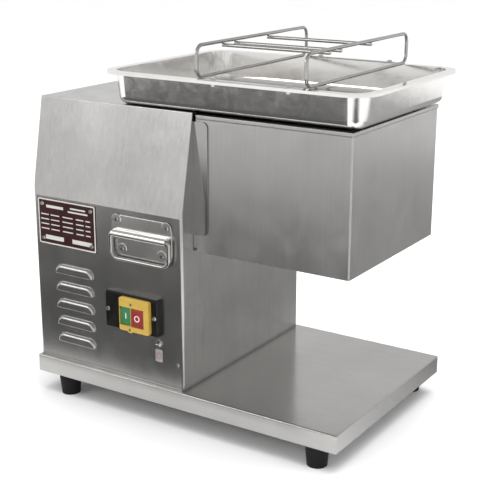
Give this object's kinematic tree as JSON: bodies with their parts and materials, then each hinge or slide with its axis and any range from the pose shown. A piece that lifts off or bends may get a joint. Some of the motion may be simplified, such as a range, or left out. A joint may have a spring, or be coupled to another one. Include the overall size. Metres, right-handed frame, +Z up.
{
  "type": "deli meat slicer",
  "caption": "Bench-top fresh meat slicer: drive column with switch and louvres, overhanging head holding two counter-rotating blade shafts, guarded feed tray on top, flat base on rubber feet.",
  "frame": {"origin": "on the bench, under the centre of the machine's overall box", "axes": "+Z up, +X from the drive column towards the cutting head, -Y towards the operator"},
  "size_m": [0.54, 0.3474, 0.5465],
  "materials": {
    "stainless_sheet": "brushed",
    "tray_steel": "polished",
    "bright_wire": "polished",
    "fastener_steel": "satin",
    "machined_steel": "machined",
    "blade_steel": "ground",
    "gear_steel": "oiled",
    "frame_plate": "satin",
    "motor_paint": "satin",
    "motor_alloy": "cast",
    "pulley_iron": "machined",
    "belt_rubber": "matte",
    "bush_bronze": "satin",
    "foot_rubber": "matte",
    "black_plastic": "fine texture",
    "comb_plastic": "matte",
    "yellow_plastic": "gloss",
    "green_plastic": "gloss",
    "red_plastic": "gloss",
    "plate_print": "satin"
  },
  "bodies": {
    "machine_frame": {"base_pan": "stainless_sheet", "base_channels": "frame_plate", "rubber_feet": "foot_rubber", "foot_bolts": "fastener_steel", "column_shell": "stainless_sheet", "rear_cover": "stainless_sheet", "rear_cover_screws": "fastener_steel", "shell_screws": "fastener_steel", "cable_gland": "black_plastic", "side_plate": "frame_plate", "inner_plate": "frame_plate", "plate_pillars": "machined_steel", "shaft_bearings": "machined_steel", "v_belt": "belt_rubber", "motor_housing": "motor_paint", "motor_end_shields": "motor_alloy", "motor_fan_cowl": "motor_paint", "motor_plate": "frame_plate", "hood_tabs": "stainless_sheet", "cassette_rails": "machined_steel", "drive_end_plate": "machined_steel", "far_end_plate": "machined_steel", "tie_rods": "machined_steel", "cassette_bushes": "bush_bronze", "front_comb": "comb_plastic", "rear_comb": "comb_plastic", "switch_box": "black_plastic", "switch_bezel": "yellow_plastic", "switch_screws": "fastener_steel", "handle_plate": "bright_wire", "rating_plate": "plate_print", "panel_rivets": "fastener_steel", "earth_screw": "fastener_steel"},
    "tray": {"feed_tray": "tray_steel", "feed_throat": "tray_steel", "guard_left_hoop": "bright_wire", "guard_right_hoop": "bright_wire", "guard_cross_wires": "bright_wire", "guard_strips": "bright_wire", "guard_screws": "fastener_steel"},
    "hood": {"head_hood": "stainless_sheet"},
    "bail": {"handle_bail": "bright_wire"},
    "start": {"start_button": "green_plastic"},
    "stop": {"stop_button": "red_plastic"},
    "rear_rotor": {"output_shaft": "machined_steel", "drive_gear": "gear_steel", "rear_blade_shaft": "machined_steel", "rear_blades": "blade_steel", "rear_spacers": "machined_steel", "rear_cassette_gear": "gear_steel"},
    "front_rotor": {"front_blade_shaft": "machined_steel", "front_blades": "blade_steel", "front_spacers": "machined_steel", "front_cassette_gear": "gear_steel"},
    "layshaft_rotor": {"layshaft": "machined_steel", "pinion": "gear_steel", "driven_pulley": "pulley_iron"},
    "motor_rotor": {"motor_shaft": "machined_steel", "motor_fan": "black_plastic", "motor_pulley": "pulley_iron"}
  },
  "joints": [
    {"name": "tray_lift", "type": "slide", "parent": "machine_frame", "child": "tray", "axis": [0, 0, 1], "range_m": [0, 0.2]},
    {"name": "hood_slide", "type": "slide", "parent": "machine_frame", "child": "hood", "axis": [1, 0, 0], "range_m": [0, 0.26]},
    {"name": "bail_hinge", "type": "hinge", "parent": "machine_frame", "child": "bail", "pos_m": [-0.067, -0.164, 0.2755], "axis": [-1, 0, 0], "range_deg": [0, 95]},
    {"name": "start_press", "type": "slide", "parent": "machine_frame", "child": "start", "axis": [0, 1, 0], "range_m": [0, 0.004], "stiffness_N_per_m": 400},
    {"name": "stop_press", "type": "slide", "parent": "machine_frame", "child": "stop", "axis": [0, 1, 0], "range_m": [0, 0.004], "stiffness_N_per_m": 400},
    {"name": "rear_blade_spin", "type": "hinge", "parent": "machine_frame", "child": "rear_rotor", "pos_m": [0.1, 0.0424, 0.35], "axis": [1, 0, 0], "continuous": true},
    {"name": "front_blade_spin", "type": "hinge", "parent": "machine_frame", "child": "front_rotor", "pos_m": [0.1, -0.0376, 0.35], "axis": [1, 0, 0], "continuous": true},
    {"name": "layshaft_spin", "type": "hinge", "parent": "machine_frame", "child": "layshaft_rotor", "pos_m": [-0.04, 0.0424, 0.26], "axis": [1, 0, 0], "continuous": true},
    {"name": "motor_spin", "type": "hinge", "parent": "machine_frame", "child": "motor_rotor", "pos_m": [-0.15, 0, 0.134], "axis": [1, 0, 0], "continuous": true}
  ],
  "couplings": [
    {"joint": "front_blade_spin", "follows": "rear_blade_spin", "ratio": -1},
    {"joint": "layshaft_spin", "follows": "rear_blade_spin", "ratio": -4},
    {"joint": "motor_spin", "follows": "rear_blade_spin", "ratio": -11.5}
  ]
}
